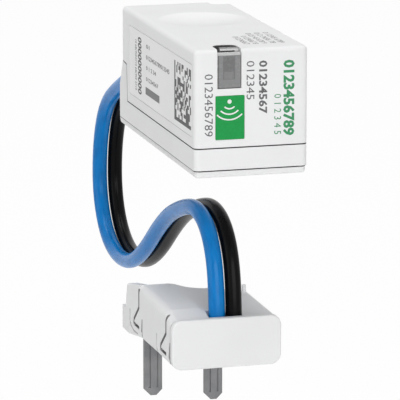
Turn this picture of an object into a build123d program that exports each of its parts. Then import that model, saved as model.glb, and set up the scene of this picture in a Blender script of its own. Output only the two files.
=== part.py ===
from build123d import *
import os
from math import cos, radians, tan

os.makedirs("parts", exist_ok=True)

# Wireless energy sensor: a sensing head and a plug, joined by two leads.
# All lengths are in millimetres. The origin lies midway between the two plug pins,
# on the underside of the plug. +X is the width, +Y runs from front to back, +Z is up.

# Shared sizes
module_width = 18.0  # one place on the mounting rail
half_width = module_width / 2
wall = 1.2
seam_gap = 0.15  # shadow line between two shells
fit_gap = 0.1  # clearance between pieces that fit in one another
overrun = 1.0  # how far a cut runs past what it cuts

# Pins of the plug
pin_pitch = 9.0
pin_stagger = 5.0
pin_width = 3.0
pin_thickness = 1.0
pin_reach = 12.0  # below the underside of the plug
pin_root = 3.1  # above it, inside the plug
pin_chamfer = 1.0
pin_groove_width = 0.3
pin_groove_depth = 0.2
pin_groove_spacing = 1.3
pin_groove_margin = 1.3  # plain metal between the groove and the tip
pin_fit = 0.05
pin_x = pin_pitch / 2
front_pin_y = -pin_stagger / 2
rear_pin_y = pin_stagger / 2

# Leads
lead_diameter = 2.6
lead_pitch = 2.8
lead_offset = 0.45  # centre of the pair, to the right of the middle
lead_relief = 0.3  # room round the leads where they enter the plug
conductor_diameter = 1.4
blue_x = lead_offset - lead_pitch / 2
black_x = lead_offset + lead_pitch / 2

# Plug
plug_front = 26.8  # from the pins' middle to the face of the front plate
plate_height = 8.1
plate_thickness = 1.0
plate_corner = 1.7
plate_edge = 0.3
plug_floor = 1.1
plug_wall = 1.6
plug_roof = 1.3  # least thickness above the plug's cavity
block_reach = 5.9  # from the pins' middle forward to the rear block
block_depth = 8.8
foot_depth = 2.1
foot_height = 3.25
foot_drop = 0.8
foot_lap = 1.8  # how far the foot runs forward under the rear block
foot_edge = 0.2
low_round_front = 1.7  # of the plug's lower long edges
low_round_back = 1.2
shoulder_width = 5.6  # raised strip on the left of the plug's top
shoulder_round_front = 1.4
shoulder_round_back = 1.3
shoulder_front = 7.9
shoulder_back = 9.05
nose_length = 7.0  # over which the top falls to the plate
nose_fall = 0.25  # still to fall at half of it
dip_front = 7.6  # middle of the hollow top, at the plate
dip_back = 7.84
dip_x = 2.6
flank_x = -0.4  # between the raised strip and the middle of the hollow
flank_rise = 0.3
crease_length = 0.9  # of the soft edge between the strip and the hollow, to each side
rim_width = 0.6  # strip on the right of the hollow
rim_height = 7.0
post_height = 8.1
post_depth = 0.8
neck_length = 0.35  # shadow line behind the plate
neck_inset = 0.3
tab_fall = 1.45  # how far the tab's top falls towards the back
tab_run = 7.6
tab_round = 0.35
block_lean = 0.7
block_top = 5.0
lug_proud = 0.12
lug_toe = 0.75
lug_toe_inset = 0.2
lug_foot = 1.9
lug_top = 4.6
lug_depth = 7.9
lug_line = 0.22  # shallow grooves at both ends of a catch
lug_line_top = 3.7
front_lug_setback = 1.5  # from the plate's face to the front of the front catch
rear_lug_lap = 2.1  # how far the rear catch runs forward over the joint
slit_width = 0.55
slit_depth = 1.0
slit_top = 8.15
slit_knee = 5.3
slit_heel = 2.75
slit_sole = 2.0
slit_kick = 2.9  # how far the slit steps back below its knee
slit_return = 3.3
front_slit_setback = 3.75
front_slit_top = 8.0
gland_length = 3.0
gland_width = 6.6
gland_height = 2.4
crimp_radius = 1.05
crimp_length = 2.6
wire_bend = 3.0
wire_step = 3.2  # straight stretch of a conductor beside its gland and its bore

plate_y = -plug_front
block_y = -block_reach
block_back_y = block_y + block_depth
foot_back_y = block_back_y + foot_depth
plug_cavity_y = plate_y + plate_thickness
plug_cavity_top = rim_height - plug_roof
lead_entry_y = plug_cavity_y + lead_relief + lead_diameter / 2
plug_cavity_half = half_width - plug_wall
rear_lug_y = block_y - rear_lug_lap
joint_setback = block_y - plate_y
crimp_z = pin_root - crimp_radius - fit_gap

# Head: its place above the plug, then its sizes
head_setback = 40.1  # from the pins' middle forward to the head's face
head_lift = 33.75  # from the plug's underside up to the head's underside
head_depth = 44.8
head_height = 19.8
head_roof = 2.2
edge_round = 0.9
top_round = 0.75
base_height = 1.1
base_inset = 0.15
base_round = 0.5
parting_height = 4.6
lip_width = 0.8
lip_height = 1.6
shroud_setback = 41.0
shroud_height = 10.55
shroud_rise = 0.4
shroud_lean = 0.5
shroud_bulge = 2.1
bulge_height = 6.8
shroud_wall = 1.5
shroud_chamfer = 0.8
notch_width = 3.0  # step in the cover's right back corner
notch_depth = 2.3
notch_round = 0.8
hook_width = 2.6
hook_thickness = 0.8
hook_height = 1.9
hook_setbacks = (11.0, 31.0)
dish_radius = 6.9
dish_depth = 0.6
dish_edge = 5.0
dish_setback = 28.1
dish_offset = 0.1

head_y = -head_setback
head_z = head_lift
head_top = head_z + head_height
parting_z = head_z + parting_height
cavity_front_y = head_y + wall
cavity_back_y = head_y + head_depth - wall
cavity_half = half_width - wall
cavity_top = head_top - head_roof
shroud_y = head_y + shroud_setback
housing_back_y = head_y + head_depth + shroud_bulge
notch_x = half_width - notch_width
notch_y = head_y + head_depth - notch_depth
lip_half = cavity_half - fit_gap
lip_inner = lip_half - lip_width

# Status window, in the front face and over the top edge
window_left = -5.28
window_width = 3.58
window_bottom = 13.84
window_drop = 0.55  # from the head's top to the top of the front pane
window_depth = 4.0
window_corner = 1.5  # of the opening's two back corners
pane_thickness = 0.6
pane_inset = 0.1
pane_round = 0.4
well_depth = 0.95
catch_height = 0.9
catch_face = 0.5  # upright part of the catch's front
catch_slope = 0.5
catch_depth = 0.95
catch_gap = 0.45
catch_inset = 0.66  # from the window's left side
guide_width = 1.8
guide_depth = 2.8
guide_head = 1.6
guide_rise = 0.8

# Film label on the left side and badge on the front
film = 0.12
label_setback = 1.0
label_length = 38.9
label_bottom = 6.2
label_height = 11.3
label_corner = 0.8
label_middle = (head_y + label_setback + label_length / 2, head_z + label_bottom + label_height / 2)
badge_left = -5.72
badge_width = 4.65
badge_bottom = 5.84
badge_height = 6.86
badge_corner = 0.2
badge_middle = (badge_left + badge_width / 2, head_z + badge_bottom + badge_height / 2)

# Board and what stands on it
board_thickness = 1.0
board_margin = 0.4
board_length = 39.0
led_size = 1.4
led_height = 0.8
shield_length = 9.5
shield_width = 8.5
shield_height = 2.0
shield_sheet = 0.3
shield_setback = 13.0
antenna_sheet = 0.4
antenna_height = 6.0
antenna_length = 11.0
antenna_flag = 4.0
antenna_foot = 1.6
antenna_setback = 3.0
antenna_inset = 2.0  # from the board's right edge
film_cap_length = 10.0
film_cap_width = 5.0
film_cap_height = 9.0
film_cap_setback = 30.0
side_room = 0.3  # between the two capacitors and the cover's walls
film_cap_round = 0.4
can_radius = 3.15
can_height = 7.7
can_setback = 34.0
can_neck = 0.3
can_neck_height = 1.1
resistor_radius = 1.2
resistor_length = 5.0
resistor_wire = 0.6
resistor_span = 8.0
resistor_setback = 26.5
resistor_x = 1.6
terminal_width = 2.2
terminal_length = 3.4
terminal_height = 2.2
terminal_setback = 36.4

# Pick-up coil below the board
coil_setback = 24.0
core_radius = 0.9
core_end = 1.2  # bare core past each flange
spool_radius = 2.0
spool_bore_wall = 0.4
flange_thickness = 0.6
core_room = 0.6  # from the core's ends to the housing's lip
winding_depth = 0.75
coil_height = 2.05  # flange centre above the base plate

# Lead exit at the back of the head
gland_hole_width = 7.0
gland_hole_height = 3.8
gland_flange = 0.7
gland_proud = 0.4
exit_height = 5.4
exit_z = head_z + exit_height
exit_y = housing_back_y + gland_proud

board_bottom = parting_z - seam_gap / 2 + lip_height
board_top = board_bottom + board_thickness
board_front_y = cavity_front_y + board_margin
board_half = cavity_half - 2 * fit_gap
antenna_x = board_half - antenna_inset
film_cap_x = -(cavity_half - side_room - film_cap_width / 2)
can_x = cavity_half - side_room - can_radius
core_length = 2 * (lip_inner - core_room)
winding_length = core_length - 2 * (flange_thickness + core_end)


def block(low, high, mode=Mode.ADD):
    """A box between two corners, added to the part that is being built."""
    size = [b - a for a, b in zip(low, high)]
    middle = [(a + b) / 2 for a, b in zip(low, high)]
    with Locations(tuple(middle)):
        Box(size[0], size[1], size[2], mode=mode)


def save(solid, name):
    """Labels a finished piece and writes it under its own name."""
    solid.label = name
    export_step(solid, "parts/" + name + ".step")


# Head cover: the upper shell, open below, with the status window cut through its front top edge
with BuildPart() as head_cover:
    cover_bottom = parting_z + seam_gap / 2
    block((-half_width, head_y, cover_bottom), (half_width, head_y + head_depth, head_top))
    block(
        (notch_x, notch_y, cover_bottom - overrun),
        (half_width + overrun, head_y + head_depth + overrun, head_top + overrun),
        mode=Mode.SUBTRACT,
    )
    notch_corner = (notch_x, notch_y, head_top)
    fillet(head_cover.edges().filter_by(Axis.Z).sort_by_distance(notch_corner)[1:], radius=edge_round)
    fillet(head_cover.edges().filter_by(Axis.Z).sort_by_distance(notch_corner)[0], radius=notch_round)
    fillet(head_cover.faces().sort_by(Axis.Z)[-1].edges(), radius=top_round)
    with BuildPart(mode=Mode.PRIVATE) as cover_cavity:
        block(
            (-cavity_half, cavity_front_y, cover_bottom - overrun),
            (cavity_half, cavity_back_y, cavity_top),
        )
        block(
            (notch_x - wall, notch_y - wall, cover_bottom - overrun),
            (cavity_half, cavity_back_y, cavity_top),
            mode=Mode.SUBTRACT,
        )
    add(cover_cavity.part, mode=Mode.SUBTRACT)
    # the notch that the housing's rear shroud fills
    with BuildSketch(Plane.YZ) as notch:
        with BuildLine():
            Polyline(
                (shroud_y, cover_bottom - overrun),
                (shroud_y, cover_bottom),
                (shroud_y + shroud_lean, head_z + shroud_height + seam_gap),
                (head_y + head_depth + overrun, head_z + shroud_height + shroud_rise + seam_gap),
                (head_y + head_depth + overrun, cover_bottom - overrun),
                close=True,
            )
        make_face()
    extrude(amount=half_width + overrun, both=True, mode=Mode.SUBTRACT)
    # shallow round hollow on top, to hold the head by
    dish_sphere = (dish_radius**2 + dish_depth**2) / (2 * dish_depth)
    with Locations((dish_offset, head_y + dish_setback, head_top - dish_depth + dish_sphere)):
        Sphere(dish_sphere, mode=Mode.SUBTRACT)
    top_circles = head_cover.edges().filter_by(GeomType.CIRCLE).group_by(Axis.Z)[-1]
    fillet(top_circles.sort_by(SortBy.LENGTH)[-1], radius=dish_edge)
    # opening for the status window
    with BuildPart(mode=Mode.PRIVATE) as window_opening:
        block(
            (window_left - fit_gap, head_y - overrun, head_z + window_bottom - fit_gap),
            (window_left + window_width + fit_gap, head_y + window_depth + fit_gap, head_top + overrun),
        )
        fillet(window_opening.edges().filter_by(Axis.Z).group_by(Axis.Y)[-1], radius=window_corner)
    add(window_opening.part, mode=Mode.SUBTRACT)
    # recesses for the label and the badge
    with BuildSketch(Plane.YZ.offset(-half_width)) as label_recess:
        with Locations(label_middle):
            RectangleRounded(label_length, label_height, label_corner)
    extrude(amount=film, mode=Mode.SUBTRACT)
    with BuildSketch(Plane.XZ.offset(-head_y)) as badge_recess:
        with Locations(badge_middle):
            RectangleRounded(badge_width, badge_height, badge_corner)
    extrude(amount=-film, mode=Mode.SUBTRACT)
save(head_cover.part, "head_cover")

# Head housing: the lower ring with the shroud that covers the lead exit, and a lip that carries the board
with BuildPart() as head_housing:
    housing_bottom = head_z + base_height + seam_gap / 2
    housing_top = parting_z - seam_gap / 2
    with BuildSketch(Plane.YZ) as housing_side:
        with BuildLine():
            Polyline(
                (head_y, housing_bottom),
                (head_y, housing_top),
                (shroud_y + seam_gap, housing_top),
                (shroud_y + shroud_lean + seam_gap, head_z + shroud_height),
                (head_y + head_depth, head_z + shroud_height + shroud_rise),
                (housing_back_y, head_z + bulge_height),
                (housing_back_y, housing_bottom),
                close=True,
            )
        make_face()
    extrude(amount=half_width, both=True)
    corners = head_housing.edges().filter_by(Axis.Z)
    leaning = head_housing.edges().filter_by_position(
        Axis.Y, head_y + head_depth, housing_back_y, inclusive=(False, False)
    )
    back_corners = leaning.filter_by(lambda edge: abs(edge.center().X) > half_width - fit_gap)
    front_corners = corners.group_by(Axis.Y)[0]
    fillet(front_corners, radius=edge_round)
    lower_back = corners.group_by(Axis.Y)[-1]
    fillet(lower_back + back_corners, radius=edge_round)
    block(
        (-cavity_half, cavity_front_y, housing_bottom - overrun),
        (cavity_half, housing_back_y - shroud_wall, housing_top),
        mode=Mode.SUBTRACT,
    )
    block(
        (-cavity_half, shroud_y - overrun, housing_top - overrun),
        (cavity_half, cavity_back_y, head_z + shroud_height - wall),
        mode=Mode.SUBTRACT,
    )
    # the lip, open at the back
    lip_front_y = cavity_front_y + fit_gap
    lip_root = housing_top - lip_width
    block((-cavity_half, cavity_front_y, lip_root), (-lip_inner, shroud_y, housing_top))
    block((lip_inner, cavity_front_y, lip_root), (cavity_half, shroud_y, housing_top))
    block((-lip_half, cavity_front_y, lip_root), (lip_half, lip_front_y + lip_width, housing_top))
    block((-lip_half, lip_front_y, housing_top), (-lip_inner, shroud_y - fit_gap, board_bottom))
    block((lip_inner, lip_front_y, housing_top), (lip_half, shroud_y - fit_gap, board_bottom))
    block((-lip_half, lip_front_y, housing_top), (lip_half, lip_front_y + lip_width, board_bottom))
    # hole for the lead gland
    block(
        (lead_offset - gland_hole_width / 2, cavity_back_y - overrun, exit_z - gland_hole_height / 2),
        (lead_offset + gland_hole_width / 2, housing_back_y + overrun, exit_z + gland_hole_height / 2),
        mode=Mode.SUBTRACT,
    )
save(head_housing.part, "head_housing")

# Head base: the bottom plate, with four hooks that grip the housing
with BuildPart() as head_base:
    base_half = half_width - base_inset
    base_top = head_z + base_height - seam_gap / 2
    with BuildSketch(Plane.YZ) as base_side:
        with BuildLine():
            Polyline(
                (head_y + base_inset, head_z),
                (head_y + base_inset, base_top),
                (housing_back_y - base_inset, base_top),
                (housing_back_y - base_inset - shroud_chamfer, head_z),
                close=True,
            )
        make_face()
    extrude(amount=base_half, both=True)
    fillet(head_base.edges().filter_by(Axis.Z), radius=edge_round)
    sides = head_base.faces().sort_by(Axis.Z)[0].edges()
    fillet(sides, radius=base_round)
    hook_half = cavity_half - fit_gap
    for setback in hook_setbacks:
        for side in (-1, 1):
            inner = side * (hook_half - hook_thickness)
            outer = side * hook_half
            block(
                (min(inner, outer), head_y + setback, base_top),
                (max(inner, outer), head_y + setback + hook_width, base_top + hook_height),
            )
    # cradle for the pick-up coil
    coil_y = head_y + coil_setback
    coil_z = base_top + coil_height
    for side in (-1, 1):
        saddle = side * (core_length - core_end) / 2
        saddle_half = core_end / 2 - pin_fit
        block(
            (saddle - saddle_half, coil_y - core_radius, base_top),
            (saddle + saddle_half, coil_y + core_radius, coil_z - core_radius),
        )
save(head_base.part, "head_base")

# Status window: a front pane, a roof below the head's top and a raised catch with a sloping front
with BuildPart() as status_lens:
    pane_front_y = head_y + pane_inset
    pane_right = window_left + window_width
    pane_top = head_top - window_drop
    well_floor = head_top - well_depth
    block(
        (window_left, pane_front_y, head_z + window_bottom),
        (pane_right, pane_front_y + pane_thickness, pane_top),
    )
    fillet(
        status_lens.edges().filter_by(Axis.X).group_by(Axis.Z)[-1].sort_by(Axis.Y)[0],
        radius=pane_round,
    )
    roof_back_y = head_y + window_depth
    catch_y = pane_front_y + pane_thickness + catch_gap
    block((window_left, pane_front_y + pane_round, cavity_top), (pane_right, roof_back_y, well_floor))
    fillet(
        status_lens.edges().filter_by(Axis.Z).group_by(Axis.Y)[-1],
        radius=window_corner - fit_gap,
    )
    with BuildSketch(Plane.YZ.offset(window_left + catch_inset)) as catch_side:
        with BuildLine():
            Polyline(
                (catch_y, cavity_top),
                (catch_y, well_floor + catch_face),
                (catch_y + catch_slope, well_floor + catch_height),
                (catch_y + catch_depth, well_floor + catch_height),
                (catch_y + catch_depth, cavity_top),
                close=True,
            )
        make_face()
    extrude(amount=window_width - catch_inset)
save(status_lens.part, "status_lens")

# Light guide: a bent clear bar from the indicator up to the back of the pane
with BuildPart() as light_guide:
    guide_x = window_left + window_width / 2
    guide_y = pane_front_y + pane_thickness
    guide_z = head_z + window_bottom + guide_rise
    led_top = board_top + led_height
    block(
        (guide_x - guide_width / 2, guide_y, guide_z),
        (guide_x + guide_width / 2, guide_y + guide_depth, guide_z + guide_head),
    )
    block(
        (guide_x - guide_width / 2, guide_y + guide_depth - guide_head, led_top),
        (guide_x + guide_width / 2, guide_y + guide_depth, guide_z + guide_head),
    )
    bend = light_guide.edges().filter_by(Axis.X).group_by(Axis.Z)[-1].sort_by(Axis.Y)[-1]
    chamfer(bend, length=guide_head / 2)
save(light_guide.part, "light_guide")

# Indicator on the board, straight below the guide
with BuildPart() as status_led:
    led_y = guide_y + guide_depth - guide_head / 2
    block(
        (guide_x - led_size / 2, led_y - led_size / 2, board_top),
        (guide_x + led_size / 2, led_y + led_size / 2, led_top),
    )
save(status_led.part, "status_led")

# Main board, lying on the housing's lip
with BuildPart() as main_board:
    block(
        (-board_half, board_front_y, board_bottom),
        (board_half, board_front_y + board_length, board_top),
    )
    fillet(main_board.edges().filter_by(Axis.Z), radius=edge_round / 2)
save(main_board.part, "main_board")

# Radio module under a folded metal can
with BuildPart() as radio_shield:
    shield_y = head_y + shield_setback
    block(
        (-shield_width / 2, shield_y, board_top),
        (shield_width / 2, shield_y + shield_length, board_top + shield_height),
    )
    fillet(radio_shield.edges().filter_by(Axis.Z), radius=shield_sheet)
    block(
        (-shield_width / 2 + shield_sheet, shield_y + shield_sheet, board_top),
        (
            shield_width / 2 - shield_sheet,
            shield_y + shield_length - shield_sheet,
            board_top + shield_height - shield_sheet,
        ),
        mode=Mode.SUBTRACT,
    )
save(radio_shield.part, "radio_shield")

# Sheet antenna: two feet, an upright strip and a folded flag
with BuildPart() as antenna:
    antenna_y = head_y + antenna_setback
    antenna_top = board_top + antenna_height
    antenna_edge = antenna_x + antenna_sheet
    for foot_y in (antenna_y, antenna_y + antenna_length / 2):
        block((antenna_x, foot_y, board_top), (antenna_edge, foot_y + antenna_foot, antenna_top))
    block(
        (antenna_x, antenna_y, antenna_top - antenna_foot),
        (antenna_edge, antenna_y + antenna_length, antenna_top),
    )
    block(
        (antenna_edge - antenna_flag, antenna_y, antenna_top - antenna_sheet),
        (antenna_edge, antenna_y + antenna_length, antenna_top),
    )
save(antenna.part, "antenna")

# Pick-up coil: a rod core, a spool and its winding
with BuildPart() as pickup_core:
    with Locations(Location((0, coil_y, coil_z), (0, 90, 0))):
        Cylinder(core_radius, core_length)
save(pickup_core.part, "pickup_core")

spool_core_radius = core_radius + spool_bore_wall
with BuildPart() as pickup_spool:
    with Locations(Location((0, coil_y, coil_z), (0, 90, 0))):
        Cylinder(spool_core_radius, winding_length + 2 * flange_thickness)
    for side in (-1, 1):
        flange_x = side * (winding_length + flange_thickness) / 2
        with Locations(Location((flange_x, coil_y, coil_z), (0, 90, 0))):
            Cylinder(spool_radius, flange_thickness)
    with Locations(Location((0, coil_y, coil_z), (0, 90, 0))):
        Cylinder(core_radius + pin_fit, core_length, mode=Mode.SUBTRACT)
save(pickup_spool.part, "pickup_spool")

with BuildPart() as pickup_winding:
    with Locations(Location((0, coil_y, coil_z), (0, 90, 0))):
        Cylinder(spool_core_radius + winding_depth - pin_fit, winding_length - 2 * pin_fit)
        Cylinder(spool_core_radius + pin_fit, winding_length, mode=Mode.SUBTRACT)
save(pickup_winding.part, "pickup_winding")

# Supply parts behind the radio: film capacitor, can capacitor and fusible resistor
with BuildPart() as supply_capacitor:
    film_cap_y = head_y + film_cap_setback
    block(
        (film_cap_x - film_cap_width / 2, film_cap_y, board_top),
        (film_cap_x + film_cap_width / 2, film_cap_y + film_cap_length, board_top + film_cap_height),
    )
    fillet(supply_capacitor.edges().filter_by(Axis.Z), radius=film_cap_round)
    fillet(supply_capacitor.faces().sort_by(Axis.Z)[-1].edges(), radius=film_cap_round)
save(supply_capacitor.part, "supply_capacitor")

with BuildPart() as storage_capacitor:
    with BuildSketch(Plane.XY.offset(board_top)):
        with Locations((can_x, head_y + can_setback)):
            Circle(can_radius)
    extrude(amount=can_height)
    fillet(storage_capacitor.edges().group_by(Axis.Z)[-1], radius=can_neck)
    with BuildSketch(Plane.XY.offset(board_top + can_neck_height)):
        with Locations((can_x, head_y + can_setback)):
            Circle(can_radius + overrun)
            Circle(can_radius - can_neck, mode=Mode.SUBTRACT)
    extrude(amount=can_neck, mode=Mode.SUBTRACT)
save(storage_capacitor.part, "storage_capacitor")

with BuildPart() as safety_resistor:
    resistor_y = head_y + resistor_setback
    resistor_z = board_top + resistor_radius + fit_gap
    with Locations(Location((resistor_x, resistor_y, resistor_z), (0, 90, 0))):
        Cylinder(resistor_radius, resistor_length)
        Cylinder(resistor_wire / 2, resistor_span)
    for side in (-1, 1):
        leg_x = resistor_x + side * (resistor_span - resistor_wire) / 2
        with Locations((leg_x, resistor_y, (board_top + resistor_z) / 2)):
            Cylinder(resistor_wire / 2, resistor_z - board_top)
save(safety_resistor.part, "safety_resistor")

# Terminals under the board, one for each lead
with BuildPart() as lead_terminals:
    terminal_y = head_y + terminal_setback
    for lead_x in (blue_x, black_x):
        block(
            (lead_x - terminal_width / 2, terminal_y, board_bottom - terminal_height),
            (lead_x + terminal_width / 2, terminal_y + terminal_length, board_bottom),
        )
    for lead_x in (blue_x, black_x):
        with Locations(Location((lead_x, terminal_y + terminal_length / 2, exit_z), (90, 0, 0))):
            Cylinder(conductor_diameter / 2 + pin_fit, terminal_length, mode=Mode.SUBTRACT)
save(lead_terminals.part, "lead_terminals")

# Gland that holds the leads in the back wall
with BuildPart() as lead_gland:
    gland_half = gland_hole_width / 2 - fit_gap
    gland_rise = gland_hole_height / 2 - fit_gap
    gland_inner_y = cavity_back_y - gland_flange
    block(
        (lead_offset - gland_half, gland_inner_y, exit_z - gland_rise),
        (lead_offset + gland_half, exit_y, exit_z + gland_rise),
    )
    fillet(lead_gland.faces().sort_by(Axis.Y)[-1].edges(), radius=gland_proud / 2)
    for lead_x in (blue_x, black_x):
        with Locations(Location((lead_x, (gland_inner_y + exit_y) / 2, exit_z), (90, 0, 0))):
            Cylinder(conductor_diameter / 2 + pin_fit, exit_y - gland_inner_y, mode=Mode.SUBTRACT)
save(lead_gland.part, "lead_gland")

# Bare conductors from the gland to the terminals
with BuildPart() as head_conductors:
    conductor_start = terminal_y + fit_gap
    conductor_end = exit_y - fit_gap
    for lead_x in (blue_x, black_x):
        with Locations(Location((lead_x, (conductor_start + conductor_end) / 2, exit_z), (90, 0, 0))):
            Cylinder(conductor_diameter / 2, conductor_end - conductor_start)
save(head_conductors.part, "head_conductors")

# Film label and front badge, flush in their recesses
with BuildPart() as side_label:
    with BuildSketch(Plane.YZ.offset(-half_width)):
        with Locations(label_middle):
            RectangleRounded(
                label_length - 2 * fit_gap, label_height - 2 * fit_gap, label_corner - fit_gap
            )
    extrude(amount=film)
save(side_label.part, "side_label")

with BuildPart() as front_badge:
    with BuildSketch(Plane.XZ.offset(-head_y)):
        with Locations(badge_middle):
            RectangleRounded(
                badge_width - fit_gap, badge_height - fit_gap, badge_corner - pin_fit
            )
    extrude(amount=-film)
save(front_badge.part, "front_badge")

# Leads. Points of the route in (y, z), from the gland at the back of the head,
# round the loop behind it, over the crest and down into the plug.
lead_route = [
    (exit_y, exit_z),
    (14.9, 39.15),
    (25.9, 38.15),
    (37.4, 34.15),
    (48.1, 29.15),
    (53.1, 20.95),
    (53.5, 11.15),
    (47.5, 4.3),
    (36.7, 2.6),
    (24.4, 6.05),
    (7.9, 16.95),
    (-3.5, 21.25),
    (-12.7, 23.15),
    (-20.3, 20.55),
    (lead_entry_y, 13.35),
    (lead_entry_y, plug_cavity_top),
]
arc_share = 0.45  # of the shorter run, taken up by each arc


def corner_radii(points):
    """The radius at each inner point: as large as its two runs allow."""
    radii = []
    for before, here, after in zip(points, points[1:], points[2:]):
        run_in = Vector(*here) - Vector(*before)
        run_out = Vector(*after) - Vector(*here)
        shorter = min(run_in.length, run_out.length)
        half_turn = radians(run_in.get_angle(run_out)) / 2
        radii.append(arc_share * shorter / tan(half_turn))
    return radii


def lead(lead_x, name):
    """One insulated lead: straight runs joined by tangent arcs, in a plane of constant x."""
    points = [(lead_x, y, z) for y, z in lead_route]
    radii = corner_radii(points)
    with BuildPart() as tube:
        with BuildLine():
            route = FilletPolyline(*points, radius=radii)
        with BuildSketch(Plane(origin=route @ 0, z_dir=route % 0)) as section:
            Circle(lead_diameter / 2)
        sweep(path=route)
    print(name, "length", round(route.length, 1), "volume", round(tube.part.volume, 2))
    print(name, "section times length", round(section.sketch.area * route.length, 2))
    print(name, "radii", [round(r, 1) for r in radii])
    return tube.part


save(lead(blue_x, "blue_lead"), "blue_lead")
save(lead(black_x, "black_lead"), "black_lead")


def top_outline(y, shoulder, rounding, dip, low_round):
    """Cross-section of the plug behind its plate: a raised left shoulder, a hollow and a right rim."""
    left = -half_width
    shoulder_x = left + shoulder_width
    rim_x = half_width - rim_width
    arc_x = left + rounding
    arc_z = shoulder - rounding
    inset = rounding * (1 - cos(radians(45)))
    low_x = half_width - low_round
    low_inset = low_round * (1 - cos(radians(45)))
    with BuildSketch(Plane.XZ.offset(-y)) as outline:
        with BuildLine():
            Line((left, low_round), (left, arc_z))
            ThreePointArc((left, arc_z), (left + inset, shoulder - inset), (arc_x, shoulder))
            hollow = ThreePointArc(
                (shoulder_x, shoulder), (flank_x, dip + flank_rise), (dip_x, dip), mode=Mode.PRIVATE
            )
            crease_x = shoulder_x - crease_length
            crease_share = crease_length / hollow.length
            Line((arc_x, shoulder), (crease_x, shoulder))
            Bezier((crease_x, shoulder), (shoulder_x, shoulder), hollow @ crease_share)
            add(hollow.trim(crease_share, 1))
            Line((dip_x, dip), (rim_x, rim_height))
            Line((rim_x, rim_height), (half_width, rim_height))
            Line((half_width, rim_height), (half_width, low_round))
            ThreePointArc((half_width, low_round), (half_width - low_inset, low_inset), (low_x, 0))
            Line((low_x, 0), (-low_x, 0))
            ThreePointArc((-low_x, 0), (left + low_inset, low_inset), (left, low_round))
        make_face()
    return outline.sketch


def base_outline(y, drop, rounding):
    """Cross-section of the plug's rear block: flat on top, with rounded lower edges."""
    low_x = half_width - rounding
    inset = rounding * (1 - cos(radians(45)))
    with BuildSketch(Plane.XZ.offset(-y)) as outline:
        with BuildLine():
            Line((-half_width, foot_height), (half_width, foot_height))
            Line((half_width, foot_height), (half_width, rounding - drop))
            ThreePointArc(
                (half_width, rounding - drop), (half_width - inset, inset - drop), (low_x, -drop)
            )
            Line((low_x, -drop), (-low_x, -drop))
            ThreePointArc(
                (-low_x, -drop), (inset - half_width, inset - drop), (-half_width, rounding - drop)
            )
            Line((-half_width, rounding - drop), (-half_width, foot_height))
        make_face()
    return outline.sketch


def cut_sides(outline, depth):
    """Cuts an outline in (y, z) into both sides of the part that is being built."""
    for side in (-1, 1):
        start = Plane.YZ.offset(side * (half_width + lug_proud))
        extrude(
            start.from_local_coords(outline),
            amount=-side * (depth + lug_proud),
            dir=(1, 0, 0),
            mode=Mode.SUBTRACT,
        )


def cut_slit(setback, top):
    """The bent slit beside a catch, in both sides."""
    start = plate_y + setback
    with BuildSketch(Plane.YZ, mode=Mode.PRIVATE) as slit:
        with BuildLine():
            Polyline(
                (start, top),
                (start, slit_knee),
                (start + slit_kick, slit_heel),
                (start + slit_kick, slit_sole),
                (start + slit_kick - slit_return, slit_sole),
            )
        trace(line_width=slit_width)
    cut_sides(slit.sketch_local, slit_depth)


def add_lug(front_y, back_y):
    """A wedge on each side, proud at its foot and fading out above."""
    proud = half_width + lug_proud
    for side in (-1, 1):
        with BuildSketch(Plane.XZ.offset(-back_y)) as wedge:
            with BuildLine():
                Polyline(
                    (side * (half_width - plug_wall), lug_toe),
                    (side * (half_width - lug_toe_inset), lug_toe),
                    (side * proud, lug_foot),
                    (side * half_width, lug_top),
                    (side * (half_width - plug_wall), lug_top),
                    close=True,
                )
            make_face()
        extrude(wedge.sketch, amount=back_y - front_y)


def cut_lug_line(y):
    """A shallow upright groove at one end of a catch."""
    with BuildSketch(Plane.YZ, mode=Mode.PRIVATE) as groove:
        with Locations((y, (lug_toe + lug_line_top) / 2)):
            Rectangle(lug_line, lug_line_top - lug_toe)
    cut_sides(groove.sketch_local, lug_line)


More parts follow.
